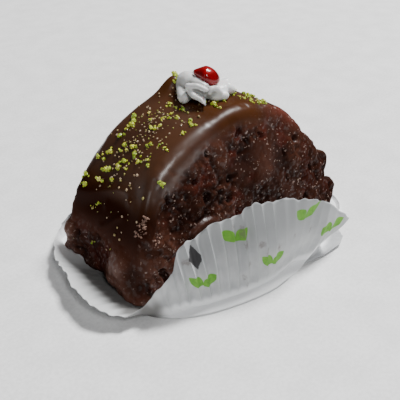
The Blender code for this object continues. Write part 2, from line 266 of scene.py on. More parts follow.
def coat_grid():
    """The skin's points, rows by columns, and three masks on them: crags, height of the relief, cut face.

    A point is the plain skin's, moved out along its normal by the face's bulge, the relief and the tongue.
    """
    share_up, nominal, inset, turn = coat_rows()
    across = np.linspace(0, 1, COLUMNS)[None, :]
    angle = math.pi * across
    depth_share = (nominal + HALF_DEPTH) / (2 * HALF_DEPTH)
    swell = coat_swell(angle, depth_share) * (1 - inset / (LIP_RADIUS + 0.4 * MM))
    top_x, top_z, out_x, out_z = arch(angle, inset - swell)
    foot_x = (HALF_WIDTH - LIP_RADIUS) * (2 * across - 1)
    x = foot_x + (top_x - foot_x) * share_up
    z = SLICE_BASE + (top_z - SLICE_BASE) * share_up
    points = stacked(x, depth_at(nominal, z), z)
    lean = np.where(np.cos(turn) > 0, FRONT_LEAN, BACK_LEAN)
    side = np.cos(turn)
    normal = stacked(out_x * np.sin(turn), -side, out_z * np.sin(turn) + lean * np.abs(side))
    normal /= np.linalg.norm(normal, axis=-1)[..., None]
    rise = (z - SLICE_BASE) / (SLICE_TOP - SLICE_BASE)
    from_rim = (1 - np.hypot(x / HALF_WIDTH, rise)) * HALF_WIDTH
    degrees = np.degrees(angle)
    start = 1.2 * MM + 2.6 * MM * fade(degrees, 36, 55)
    on_face = fade(from_rim, start, start + 4.5 * MM)
    shade = fade(side, 0.55, 1.0) * (0.3 + 0.7 * fade(from_rim, 4 * MM, 7 * MM))
    rough_lip = fade(degrees, 96, 118) * fade(np.abs(side), 0.02, 0.7)
    low_lip = fade(30 - degrees, 0, 12) * fade(np.abs(side), 0.1, 0.8)
    flat = np.abs(side) > 0.99
    crags = np.clip(np.maximum(on_face * flat, np.maximum(rough_lip, low_lip)), 0, 1)
    bulge = FACE_BULGE * fade(from_rim, 3 * MM, 14 * MM) * flat
    slab = fade(1 - off_oval(x, z, SLAB_PLACE, SLAB_HALF, SLAB_SLOPE), 0, 0.4) * (side > 0.99)
    relief = crag_relief(points) * (1 - slab)
    crags = crags * (1 - 0.8 * slab)
    low = fade(19 * MM - z, 0, 9 * MM)
    by_crags = (0.12 + 0.88 * crags) * (np.abs(side) > 0.001)
    gain = np.maximum(by_crags, low * (1.8 - 0.75 * np.abs(side)))
    settle = 0.3 + 0.7 * fade(z - SLICE_BASE, 0, 4 * MM)
    proud = bulge + relief * gain * settle + SLAB_HEIGHT * slab
    points = points + normal * proud[..., None]
    on_base = z < SLICE_BASE + WELD_REACH
    points[..., 2] = np.where(on_base, SLICE_BASE, np.maximum(points[..., 2], SLICE_BASE))
    return points, np.maximum(crags, 0.75 * low), relief / MM, shade


def face_list(blocks):
    """The faces of all the blocks, each block an array with one face a row."""
    return [face for block in blocks for face in block.tolist()]


def mesh_piece(name, points, blocks, finish, masks=None):
    """A smooth-shaded object at the origin from an array of points, blocks of faces and masks by name."""
    mesh = bpy.data.meshes.new(name)
    mesh.from_pydata(points.reshape(-1, 3).tolist(), [], face_list(blocks))
    for key, values in (masks or {}).items():
        layer = mesh.attributes.new(key, "FLOAT", "POINT")
        layer.data.foreach_set("value", np.asarray(values, np.float32).ravel())
    mesh.shade_smooth()
    mesh.materials.append(finish)
    piece = bpy.data.objects.new(name, mesh)
    bpy.context.scene.collection.objects.link(piece)
    return piece


def grid_faces(rows, columns, closed=False):
    """Four-sided faces between neighbours of a grid. closed joins the last column to the first."""
    index = np.arange(rows * columns).reshape(rows, columns)
    right = np.roll(index, -1, axis=1) if closed else index[:, 1:]
    left = index if closed else index[:, :-1]
    return stacked(left[:-1], right[:-1], right[1:], left[1:]).reshape(-1, 4)


class Wire:
    """An output in a finish's node tree. Sums on it add Math nodes, and node() adds any other node."""

    def __init__(self, tree, socket=None):
        self.tree, self.socket = tree, socket

    def node(self, kind, settings=None, inputs=None, output=0):
        """Adds a node of a kind with its settings and the values or wires of its inputs."""
        made = self.tree.nodes.new(kind)
        for key, value in (settings or {}).items():
            if key == "stops":
                for _ in range(len(value) - 2):
                    made.color_ramp.elements.new(0.5)
                for element, (position, color) in zip(made.color_ramp.elements, value):
                    element.position, element.color = position, (*color, 1)
            else:
                setattr(made, key, value)
        for key, value in (inputs or {}).items():
            if isinstance(value, Wire):
                self.tree.links.new(value.socket, made.inputs[key])
            else:
                made.inputs[key].default_value = value
        return Wire(self.tree, made.outputs[output])

    def math(self, operation, *values):
        inputs = {place: value for place, value in enumerate((self, *values))}
        return self.node("ShaderNodeMath", {"operation": operation}, inputs)

    def __add__(self, other):
        return self.math("ADD", other)

    def __mul__(self, other):
        return self.math("MULTIPLY", other)

    def __sub__(self, other):
        return self.math("SUBTRACT", other)

    def __rsub__(self, other):
        return self.node("ShaderNodeMath", {"operation": "SUBTRACT"}, {0: other, 1: self})

    def __truediv__(self, other):
        return self.math("DIVIDE", other)

    __radd__ = __add__
    __rmul__ = __mul__

    def fade(self, low, high):
        """0 below low, 1 above high, smooth between."""
        ends = {"Value": self, "From Min": low, "From Max": high}
        return self.node("ShaderNodeMapRange", {"interpolation_type": "SMOOTHSTEP"}, ends)

    def mix(self, first, second):
        """Colour between first and second, with this wire as the factor."""
        inputs = {0: self, 6: color_of(first), 7: color_of(second)}
        return self.node("ShaderNodeMix", {"data_type": "RGBA"}, inputs, 2)

    def axes(self):
        """The three parts of this vector."""
        parts = self.node("ShaderNodeSeparateXYZ", None, {0: self}).socket.node
        return [Wire(self.tree, socket) for socket in parts.outputs]

    def noise(self, size, detail=2.0, offset=(0, 0, 0)):
        """Noise from 0 to 1 on this vector, with features about size across."""
        moved = self.node("ShaderNodeVectorMath", {"operation": "ADD"}, {0: self, 1: offset})
        return self.node("ShaderNodeTexNoise", None, {"Vector": moved, "Scale": 1 / size, "Detail": detail})

    def attribute(self, name):
        """A mask that was worked out with the mesh."""
        return self.node("ShaderNodeAttribute", {"attribute_name": name}, output="Fac")

    def bump(self, strength, distance, height):
        """A normal that follows a height."""
        inputs = {"Strength": strength, "Distance": distance, "Height": height}
        return self.node("ShaderNodeBump", None, inputs)

    def squared(self):
        return self.math("POWER", 2.0)


def color_of(value):
    return value if isinstance(value, Wire) else (*value, 1)


def new_finish(name, **constants):
    """A material whose one Principled shader has its constant sockets set, and its first wires."""
    made = bpy.data.materials.new(name)
    made.use_nodes = True
    tree = Wire(made.node_tree)
    shader = made.node_tree.nodes["Principled BSDF"]
    for key, value in constants.items():
        shader.inputs[key.replace("_", " ").title().replace("Ior", "IOR")].default_value = value
    place = tree.node("ShaderNodeTexCoord", output="Object")
    return made, tree, shader, place


def feed(shader, **wires):
    """Links what changes over the surface into the shader."""
    for key, wire in wires.items():
        wire.tree.links.new(wire.socket, shader.inputs[key.replace("_", " ").title()])


COAT_SMOOTH = ((0.034, 0.0100, 0.0026), (0.058, 0.0190, 0.0050))
COAT_LEFT_PAINTED_SHADE = (0.019, 0.0042, 0.0012)
COAT_LEFT_FOOT = (0.058, 0.0175, 0.0095)
CUT_PITS_TO_DOMES = ((0.017, 0.0055, 0.0034), (0.072, 0.0262, 0.0162))
CUT_RUDDY = (0.075, 0.0135, 0.0082)
CUT_LOW_LUMPS = (0.118, 0.048, 0.032)
CUT_RIGHT_END = (0.013, 0.0042, 0.0024)
CUT_PAINTED_RIM_LIGHT = (0.125, 0.030, 0.021)
PALE_CRUMB_AND_SPARKLE = (0.36, 0.26, 0.22)


def chocolate_finish():
    """Dark couverture: brown where thick and smooth, wet gloss on the crags. Painted shade makes it near
    black in the crevices and darker on the left and right ends; painted light makes the domes, the low
    lumps and the upper right edge lighter.
    """
    made, tree, shader, place = new_finish(
        "chocolate_coat", coat_roughness=0.33, coat_ior=1.8, specular_ior_level=0.0
    )
    crags, relief, shade = (tree.attribute(name) for name in ("crags", "relief", "shade"))
    x, y, z = place.axes()
    right = x.fade(20 * MM, 38 * MM)
    # Painted shade: the left end of the coat below the crease is painted near black, and lighter brown
    # again towards its foot.
    left = x.fade(-22 * MM, -32 * MM) * z.fade(33 * MM, 27 * MM)
    glaze = place.noise(16 * MM, 2).fade(0.3, 0.7).mix(*COAT_SMOOTH)
    glaze = left.mix(glaze, COAT_LEFT_PAINTED_SHADE)
    glaze = (left * z.fade(23 * MM, 12 * MM)).mix(glaze, COAT_LEFT_FOOT)

    # Painted shade and light: the cut is painted near black in the pits and lighter brown on the domes, by
    # the height of the relief.
    cut = relief.fade(-1.2, 1.2).mix(*CUT_PITS_TO_DOMES)
    ruddy = place.noise(9 * MM, 1, (0.7, 0.2, 0.5)).fade(0.54, 0.68)
    cut = (ruddy * 0.5).mix(cut, CUT_RUDDY)
    # The low lumps at the left get a ruddier brown, lighter on their domes and darker between them: their
    # own tone, with painted light on the domes and painted shade in the hollows.
    low_left = z.fade(22 * MM, 9 * MM) * x.fade(5 * MM, -15 * MM)
    cut = (low_left * (0.05 + 0.9 * relief.fade(-0.3, 0.9))).mix(cut, CUT_LOW_LUMPS)
    # Painted shade: the cut is painted darker towards the right end.
    cut = (right * 0.6).mix(cut, CUT_RIGHT_END)
    # Painted rim light: a lighter red along the upper right edge of the cut, stronger on the domes.
    edge = y.fade(-19 * MM, -14 * MM) * y.fade(0, -8 * MM) * z.fade(20 * MM, 28 * MM)
    painted_rim_light = x.fade(14 * MM, 26 * MM) * edge * (0.4 + 0.6 * relief.fade(-0.4, 0.8))
    cut = (painted_rim_light * 0.8).mix(cut, CUT_PAINTED_RIM_LIGHT)

    color = crags.fade(0.05, 0.7).math("MAXIMUM", shade).mix(glaze, cut)
    # Pale crumb specks on the crags, which also stand in for the sparkle of tiny highlights: partly real
    # crumb, partly painted highlight.
    crumb = place.noise(1.15 * MM, 1, (0.6, 0.3, 0.8)).fade(0.66, 0.73) * crags
    color = (crumb * 0.65).mix(color, PALE_CRUMB_AND_SPARKLE)
    away_x = ((x - CALM_PLACE[0]) / CALM_HALF[0]).squared()
    away_z = ((z - CALM_PLACE[1]) / CALM_HALF[1]).squared()
    calm = (away_x + away_z).fade(1.0, 0.3)
    speck = place.noise(1.6 * MM, 3, (0.3, 0.1, 0.2))
    rough = 0.36 + crags * (0.02 - 0.22 * speck.fade(0.45, 0.65))
    grain = place.noise(0.9 * MM, 4, (0.2, 0.9, 0.4)) * (0.08 + 0.92 * crags) * (1 - 0.6 * calm)
    height = grain + 0.35 * place.noise(4 * MM, 2) * (1 - crags)
    shine = 0.14 - 0.1 * left + 0.76 * x.fade(-6 * MM, -15 * MM) * z.fade(31 * MM, 37 * MM)
    foot = x.fade(-34 * MM, -44 * MM) * z.fade(18 * MM, 10 * MM)
    sparkle = 0.04 + 0.34 * speck.fade(0.5, 0.62) * (1 - 0.8 * calm)
    sparkle = sparkle + foot * (0.03 + 0.5 * relief.fade(0.1, 1.0))
    wet = (1 - crags) * shine + crags * sparkle * (1 - 0.6 * right)
    bump = tree.bump(0.5, 0.5 * MM, height)
    feed(shader, base_color=color, roughness=rough, coat_weight=wet, normal=bump)
    return made


coat_points, coat_crags, coat_relief, coat_shade = coat_grid()
coat = mesh_piece(
    "chocolate_coated_slice",
    coat_points,
    [grid_faces(*coat_crags.shape)],
    chocolate_finish(),
    {"crags": coat_crags, "relief": coat_relief, "shade": coat_shade},
)


def weld(piece, distance):
    """Merges the points that coincide, closes the flat underside and turns every face outwards."""
    bm = bmesh.new()
    bm.from_mesh(piece.data)
    bmesh.ops.remove_doubles(bm, verts=bm.verts[:], dist=distance)
    bmesh.ops.dissolve_degenerate(bm, edges=bm.edges[:], dist=distance)
    bmesh.ops.holes_fill(bm, edges=[line for line in bm.edges if line.is_boundary], sides=0)
    bmesh.ops.recalc_face_normals(bm, faces=bm.faces[:])
    bm.to_mesh(piece.data)
    bm.free()
    piece.data.shade_smooth()


weld(coat, WELD_REACH)
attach(coat, "root")
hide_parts("sponge", "chocolate_glaze")

# The pistachio. Chopped nut scattered on the wet glaze: angular nuggets with dust and pale skin
# between them. The big ones lie where the photograph shows them, the rest are drawn at random.
NUGGET_PIXELS = (
    (170, 104, 5), (183, 109, 5), (176, 108, 3), (214, 104, 7), (224, 101, 5), (234, 94, 5), (247, 96, 7),
    (251, 100, 5), (262, 103, 5), (257, 101, 4), (130, 112, 5), (126, 129, 4), (132, 125, 6), (151, 120, 4),
    (151, 128, 5), (155, 129, 4), (160, 126, 4), (163, 119, 4), (169, 118, 4), (171, 114, 4), (178, 118, 4),
    (192, 126, 6), (190, 120, 4), (183, 134, 4), (124, 145, 5), (133, 147, 6), (111, 152, 7), (121, 151, 5),
    (135, 154, 6), (98, 156, 5), (104, 159, 5), (125, 161, 6), (138, 162, 5), (148, 160, 4), (148, 165, 4),
    (147, 146, 4), (151, 145, 4), (160, 145, 3), (164, 148, 3), (167, 150, 3), (110, 169, 6), (106, 169, 5),
    (119, 167, 6), (126, 169, 3), (86, 174, 6), (86, 184, 6), (100, 179, 6), (112, 179, 5), (162, 184, 6),
    (99, 203, 4), (93, 208, 3), (92, 243, 4), (175, 75, 9), (178, 79, 7), (220, 108, 4), (240, 97, 3),
    (248, 94, 6), (263, 101, 6), (205, 103, 4),
)
# A nugget's radius is its size in pixels times the scale, and smaller ones lie beside it
NUGGET_SCALE = 0.145 * MM
COMPANIONS = 4
COMPANION_SPREAD = (0.38, 0.32)
COMPANION_SIZE = (0.35, 0.75)
# Nuggets out of sight: angle, share of the depth, reach of both, count
HIDDEN_CLUSTERS = ((118, 0.55, 9, 0.16, 12), (132, 0.50, 9, 0.20, 9), (60, 0.86, 10, 0.06, 6))
HIDDEN_SIZE = (0.5 * MM, 1.2 * MM)
SPECK_PIXELS = (
    (93, 208), (137, 222), (115, 235), (120, 239.5), (143.5, 198.5), (127, 190), (121, 181), (137.5, 175.5),
    (112, 178), (147, 108), (159, 113), (170, 95), (153, 119.5), (188, 113), (199, 117), (124, 168),
    (117, 135),
)
SPECK_SIZE = (0.42 * MM, 0.62 * MM)
DUST_COUNT = 260
DUST_SIZE = (0.16 * MM, 0.42 * MM)
# Bare crumb on the lower edge: first and last pixel, count, spread in pixels, radius
FLAKE_LINES = (
    ((148, 217), (137, 238), 60, 2.8, (0.18 * MM, 0.44 * MM)),
    ((155, 237), (158, 246), 9, 2.5, (0.25 * MM, 0.5 * MM)),
)
TOPPING_SEED = 11
LUMP_FLATTENED = 0.2
LUMP_RAISED = 0.35
PISTACHIO_GREENS = (
    (0.0, (0.15, 0.27, 0.006)),
    (0.45, (0.33, 0.43, 0.010)),
    (0.8, (0.52, 0.54, 0.03)),
    (1.0, (0.66, 0.58, 0.18)),
)
PISTACHIO_BROKEN = (0.52, 0.56, 0.07)
DUST_BROWNS = ((0.0, (0.30, 0.30, 0.05)), (0.5, (0.34, 0.24, 0.12)), (1.0, (0.46, 0.34, 0.24)))
FLAKE_BROWNS = ((0.0, (0.10, 0.042, 0.026)), (1.0, (0.34, 0.20, 0.145)))


def surface_finder(piece):
    """A search tree that tells where a ray meets the piece."""
    mesh = piece.data
    return BVHTree.FromPolygons([v.co for v in mesh.vertices], [p.vertices for p in mesh.polygons])


def ball(rings, segments):
    """Unit ball: a grid of longitude by latitude with single points at both poles, and its faces."""
    up = np.linspace(-math.pi / 2, math.pi / 2, rings + 2)[1:-1, None]
    turn = np.linspace(0, math.tau, segments, endpoint=False)[None, :]
    grid = stacked(np.cos(up) * np.cos(turn), np.cos(up) * np.sin(turn), np.sin(up))
    points = np.vstack([grid.reshape(-1, 3), [(0, 0, -1), (0, 0, 1)]])
    first = np.arange(segments)
    after = (first + 1) % segments
    south, north, last = rings * segments, rings * segments + 1, (rings - 1) * segments
    caps = np.vstack([stacked(after, first, south), stacked(last + first, last + after, north)])
    return points, [grid_faces(rings, segments, closed=True), caps]


def scatter(places, rings, segments):
    """One small uneven lump at each (point, normal, radius), turned at random and pressed a little flat."""
    shape, blocks = ball(rings, segments)
    points, tints = [], []
    for place, normal, radius in places:
        turn = np.linalg.qr(draw.normal(size=(3, 3)))[0]
        turn *= np.sign(np.linalg.det(turn))
        lump = shape * draw.uniform(0.64, 1.32, (len(shape), 1)) * draw.uniform(0.7, 1.2, 3)
        lump = lump @ turn * radius
        up = np.array(normal)
        lump -= np.outer(lump @ up, up) * LUMP_FLATTENED
        points.append(lump + np.array(place) + up * radius * LUMP_RAISED)
        tints.append(np.full(len(shape), draw.random()))
    starts = np.arange(len(places))[:, None, None] * len(shape)
    blocks = [(block + starts).reshape(-1, block.shape[1]) for block in blocks]
    return np.vstack(points), blocks, np.concatenate(tints)


def seen_at(px, py):
    """Point and normal of the coat at a pixel of the photograph, or two Nones."""
    return finder.ray_cast(CAMERA_PLACE, pixel_ray((px, py)))[:2]


def on_coat(angle_deg, share):
    """Point and normal of the coat at an angle from the left foot and a share of the depth."""
    angle = np.array([[math.radians(angle_deg)]])
    x, z, out_x, out_z = arch(angle, -15 * MM)
    y = depth_at(np.array([[(2 * share - 1) * HALF_DEPTH]]), z)
    start = Vector((x[0, 0], y[0, 0], z[0, 0]))
    return finder.ray_cast(start, -Vector((out_x[0, 0], 0, out_z[0, 0])))[:2]


def land(found, spot, sizes, scale=1.0):
    """Adds a lump where a ray has met the coat, with a radius drawn between two sizes."""
    hit, normal = spot
    if hit is not None:
        found.append((hit, normal, scale * draw.uniform(*sizes)))


def nugget_places():
    """The nuggets seen in the photograph, each with its companions, and then the hidden clusters."""
    found = []
    for px, py, size in NUGGET_PIXELS:
        hit, normal = seen_at(px, py)
        if hit is None:
            continue
        found.append((hit, normal, size * NUGGET_SCALE))
        for _ in range(COMPANIONS):
            aside, down = (draw.normal(0, size * spread) for spread in COMPANION_SPREAD)
            land(found, seen_at(px + aside, py + down), COMPANION_SIZE, size * NUGGET_SCALE)
    for angle, share, reach, share_reach, count in HIDDEN_CLUSTERS:
        for _ in range(count):
            at = min(0.96, max(0.06, share + draw.normal(0, share_reach)))
            land(found, on_coat(angle + draw.normal(0, reach), at), HIDDEN_SIZE)
    return found


def dust_places():
    """The pale specks seen in the photograph, and dust drawn at random over the left slope."""
    found = []
    for pixel in SPECK_PIXELS:
        land(found, seen_at(*pixel), SPECK_SIZE)
    while len(found) < DUST_COUNT:
        angle, share = draw.normal(60, 17), draw.normal(0.5, 0.24)
        if 8 < angle < 125 and 0.05 < share < 0.97:
            land(found, on_coat(angle, share), DUST_SIZE)
    return found


def flake_places():
    """Flakes strewn along straight lines of the photograph."""
    found = []
    for first, last, count, spread, size in FLAKE_LINES:
        for share in np.linspace(0, 1, count):
            pixel = [a + (b - a) * share + draw.normal(0, spread) for a, b in zip(first, last)]
            land(found, seen_at(*pixel), size)
    return found


def pistachio_finish():
    """Raw pistachio: yellow-green flesh, paler broken faces."""
    made, tree, shader, place = new_finish(
        "pistachio", coat_weight=0.1, subsurface_weight=0.15, subsurface_scale=0.001
    )
    flesh = tree.node("ShaderNodeValToRGB", {"stops": PISTACHIO_GREENS}, {"Fac": tree.attribute("tint")})
    broken = place.noise(0.7 * MM, 3).fade(0.42, 0.62)
    color = (broken * 0.5).mix(flesh, PISTACHIO_BROKEN)
    bump = tree.bump(0.6, 0.2 * MM, place.noise(0.4 * MM, 3))
    feed(shader, base_color=color, roughness=0.45 + 0.3 * broken, normal=bump)
    return made


def crumb_finish(name, browns, roughness):
    """Dry bits half sunk in the glaze, each with its own brown from a ramp."""
    made, tree, shader, place = new_finish(name, coat_weight=0.1)
    color = tree.node("ShaderNodeValToRGB", {"stops": browns}, {"Fac": tree.attribute("tint")})
    feed(shader, base_color=color, roughness=roughness + 0.2 * place.noise(1 * MM))
    return made


def sprinkle(name, places, rings, segments, finish):
    """One piece of lumps at the places, with a tint drawn for each lump."""
    points, blocks, tints = scatter(places, rings, segments)
    return mesh_piece(name, points, blocks, finish, {"tint": tints})


finder = surface_finder(coat)
draw = np.random.default_rng(TOPPING_SEED)
nuggets, dust = nugget_places(), dust_places()
pistachio = sprinkle("pistachio_nuggets", nuggets, 4, 8, pistachio_finish())
pistachio.data.shade_flat()
nut_dust = sprinkle("nut_dust", dust, 3, 6, crumb_finish("nut_dust", DUST_BROWNS, 0.4))
crumb = crumb_finish("sponge_flakes", FLAKE_BROWNS, 0.5)
flakes = sprinkle("sponge_flakes", flake_places(), 3, 6, crumb)
for topping in (pistachio, nut_dust, flakes):
    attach(topping, "root")
    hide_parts("chocolate_glaze")

# The cream. Whipped cream pressed from a star nozzle on the crown and pulled off sideways. Its folds
# are chains of balls that flow into each other, and the skin is laid over them from one middle.
CREAM_MIDDLE = np.array((2.5, 4.5, 56.5)) * MM
CREAM_BLEND = 0.26 * MM
CREAM_RINGS = 84
CREAM_SEGMENTS = 240
CREAM_LOWEST = -42
CREAM_REACH = 16 * MM
BALL_STEP = 0.6 * MM
# How many neighbours up and round a point's surroundings take in
AROUND_UP = 5
AROUND_TURN = 12
CREAM_WHITES = ((0.86, 0.86, 0.85), (0.94, 0.94, 0.94))
CREAM_PAINTED_SHADE = (0.36, 0.36, 0.345)
# Each fold as the turning points of a chain: pixel x, pixel y, height in mm, radius in mm
CREAM_FOLDS = (
    ((186, 80.5, 58.4, 3.3), (190, 84, 58.2, 3.0)),
    ((182.5, 83, 57.2, 2.1), (182, 92, 56.0, 1.6), (184, 98.6, 55.3, 1.8)),
    ((188.5, 89, 58.6, 1.0), (194, 96, 57.4, 0.8), (200.5, 99.5, 56.4, 0.6), (206, 105.5, 55.0, 0.25)),
    ((196, 91, 57.4, 2.5), (202, 95, 56.3, 2.0)),
    ((195, 85, 58.4, 2.6), (203, 89, 57.8, 2.5)),
    ((187.5, 86, 60.0, 0.9), (196, 86, 60.2, 0.8), (206, 90, 59.2, 0.8)),
    ((207, 94, 56.4, 1.4), (215.5, 96.2, 55.8, 1.5), (225, 95.4, 55.6, 1.4)),
    ((209, 93, 57.6, 0.9), (211, 89.5, 58.6, 0.9), (217, 88.5, 58.8, 0.9), (220.5, 92, 57.6, 0.9)),
    ((214, 92.5, 56.0, 2.0), (222, 91, 55.8, 2.2)),
    ((227, 88, 56.2, 2.2), (232.5, 89.5, 54.2, 1.2)),
    ((221, 89, 55.8, 1.9), (226.5, 82, 57.2, 1.5)),
    ((206, 79, 57.4, 2.8), (199, 78, 57.4, 3.0)),
)
# The hidden side, and the core under the cherry: x, y, height and radius in mm
CREAM_BACK = (
    ((-0.5, 12.5, 56, 2.3), (2, 15, 56.2, 2.6), (7, 14, 56, 2.9), (11, 9, 55.8, 2.8), (12, 4, 55.5, 2.4)),
    ((0, 4, 55.2, 3.4), (3, 4.5, 55.2, 3.9), (7, 4, 54.8, 3.4), (4, 9, 55.2, 3.6)),
)


def at_height(pixel, height):
    """The point of a pixel's ray at a height above the table."""
    ray = pixel_ray(pixel)
    return np.array(CAMERA_PLACE + ray * ((height - CAMERA_PLACE.z) / ray.z))


def ball_chain(stations):
    """Balls at even steps along the straight stretches between stations, as rows of x, y, z and radius."""
    balls = []
    for first, second in itertools.pairwise(stations):
        count = max(2, int(np.linalg.norm(second[:3] - first[:3]) / BALL_STEP) + 1)
        balls.append(first + (second - first) * np.linspace(0, 1, count)[:, None])
    return np.vstack(balls)


def blended_skin(balls, middle, steps=64):
    """Rings of points round a middle, from low to the top, on the blended surface of all the balls.

    The distance to the surface is -blend * log(sum of exp(-(distance to a ball's skin) / blend)), and
    each ray from the middle ends where that distance first turns negative on the way in.
    """
    up = np.radians(np.linspace(CREAM_LOWEST, 90, CREAM_RINGS))[:, None]
    turn = np.linspace(0, math.tau, CREAM_SEGMENTS, endpoint=False)[None, :]
    ray = stacked(np.cos(up) * np.cos(turn), np.cos(up) * np.sin(turn), np.sin(up))
    out = np.linspace(CREAM_REACH, 0.4 * MM, steps)
    near = np.zeros((*ray.shape[:2], steps))
    for x, y, z, radius in balls:
        rest = np.array((x, y, z)) - middle
        along = ray @ rest
        away = np.sqrt((out - along[..., None]) ** 2 + (rest @ rest - along**2)[..., None].clip(0))
        near += np.exp((radius - away) / CREAM_BLEND)
    beyond = -CREAM_BLEND * np.log(near + 1e-300)
    first = np.argmax(beyond < 0, axis=-1).clip(1)
    outer = np.take_along_axis(beyond, first[..., None] - 1, -1)[..., 0]
    inner = np.take_along_axis(beyond, first[..., None], -1)[..., 0]
    end = out[first - 1] + (out[first] - out[first - 1]) * outer / (outer - inner)
    return middle + ray * end[..., None]


def cream_grid():
    """The folds' skin with a fine ripple, and how far in mm each point stands out of its surroundings."""
    chains = []
    for fold in CREAM_FOLDS:
        places = [(*at_height(station[:2], station[2] * MM), station[3] * MM) for station in fold]
        chains.append(ball_chain(np.array(places)))
    chains += [ball_chain(np.array(fold) * MM) for fold in CREAM_BACK]
    points = blended_skin(np.vstack(chains), CREAM_MIDDLE)
    ripple = soft_noise(points, 2.6 * MM, 71) * 0.16 * MM + soft_noise(points, 1.1 * MM, 72) * 0.07 * MM
    out = points - CREAM_MIDDLE
    radius = np.linalg.norm(out, axis=-1)
    turns, steps = range(-AROUND_TURN, AROUND_TURN + 1), range(-AROUND_UP, AROUND_UP + 1)
    around = sum(np.roll(radius, turn, axis=1) for turn in turns) / len(turns)
    around = sum(np.roll(around, step, axis=0) for step in steps) / len(steps)
    return points + out * (ripple / radius)[..., None], (radius - around) / MM


def cream_finish():
    """Whipped cream: white, soft, faintly translucent, with a weak gloss; painted shade greys its hollows
    and its left side.
    """
    made, tree, shader, place = new_finish(
        "whipped_cream", subsurface_weight=0.1, subsurface_scale=0.001, specular_ior_level=0.4
    )
    color = place.noise(5 * MM, 2).fade(0.3, 0.7).mix(*CREAM_WHITES)
    # Painted shade: the cream is painted grey in the hollows between its folds and towards its left side.
    shaded_left = place.axes()[0].fade(6 * MM, -1 * MM)
    hollow = tree.attribute("ridge").fade(0.3, -0.35)
    painted_shade = (0.42 + 0.58 * hollow) * (0.2 + 0.8 * shaded_left)
    color = painted_shade.mix(color, CREAM_PAINTED_SHADE)
    bump = tree.bump(0.25, 0.3 * MM, place.noise(0.9 * MM, 4))
    feed(shader, base_color=color, roughness=0.22 + 0.2 * place.noise(2 * MM), normal=bump)
    return made


cream_points, cream_ridge = cream_grid()
cream_bottom = np.arange(CREAM_SEGMENTS)[None, ::-1]
cream_blocks = [grid_faces(CREAM_RINGS, CREAM_SEGMENTS, closed=True), cream_bottom]
cream = mesh_piece("piped_cream", cream_points, cream_blocks, cream_finish(), {"ridge": cream_ridge})
weld(cream, WELD_REACH)
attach(cream, "root")
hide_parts("cream_rosette")

# The cherry. Half a candied cherry, wet with syrup: a flattened ball, one end drawn to a point.
CHERRY_PLACE = np.array((2.8, 3.2, 61.1)) * MM
CHERRY_HALF = np.array((4.8, 4.2, 3.4)) * MM
CHERRY_TURN = math.radians(-50)
CHERRY_TILT = math.radians(15)
CHERRY_NARROWING = 0.42
CHERRY_DENT = 0.12 * MM
CHERRY_REDS = ((0.11, 0.0003, 0.0014), (0.26, 0.0006, 0.0030))


def cherry_finish():
    """Clear red candy: deep red flesh under a hard wet gloss."""
    made, tree, shader, place = new_finish("candied_cherry", specular_ior_level=0.5)
    cloud = place.noise(3 * MM, 2)
    color = cloud.fade(0.3, 0.7).mix(*CHERRY_REDS)
    bump = tree.bump(0.2, 0.3 * MM, place.noise(1.8 * MM, 2))
    feed(shader, base_color=color, roughness=0.13 + 0.06 * cloud, normal=bump)
    return made


# The ball narrows towards -x, is dented, leans along x and turns about z
cherry_points, cherry_blocks = ball(40, 64)
narrow = 1 - CHERRY_NARROWING * fade(-cherry_points[:, 0], -0.1, 1.0)
cherry_points = cherry_points * stacked(1.0, narrow, narrow) * CHERRY_HALF
dents = CHERRY_DENT * soft_noise(cherry_points, 2.2 * MM, 81)[:, None]
cherry_points += dents * (cherry_points / CHERRY_HALF)
cherry_points[:, 2] -= cherry_points[:, 0] * math.tan(CHERRY_TILT)
cos, sin = math.cos(CHERRY_TURN), math.sin(CHERRY_TURN)
cherry_points = cherry_points @ np.array(((cos, sin, 0), (-sin, cos, 0), (0, 0, 1))) + CHERRY_PLACE
cherry = mesh_piece("candied_cherry_half", cherry_points, cherry_blocks, cherry_finish())
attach(cherry, "root")
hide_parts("cherry")

# The paper case. Greaseproof paper pressed into a fluted cup: a flat base, a plain band at its
# foot, then pleats up to the cut rim. The left end is pressed flat, and the right end is folded out.
PLEATS = 92
PLEAT_COLUMNS = 8
WALL_ROWS = 34
BASE_RINGS = 5
PLEAT_DEPTH = 0.9 * MM
BAND_REACH = 3.6 * MM
BAND_RISE = 1.4 * MM
BAND_ROWS = 5
WALL_BOW = 1.6 * MM
PAPER_THICK = 0.14 * MM
RIM_LOWEST = 1.2 * MM
CREASE_ANGLE = math.radians(40)
CURVE_POINTS = 6000
BASE_MIDDLE = (0, -4 * MM, PAPER_THICK / 2)
FLAP_LENGTH = 40 * MM
FLAP_WIDTH = 9 * MM
FLAP_WAVINESS = 0.14
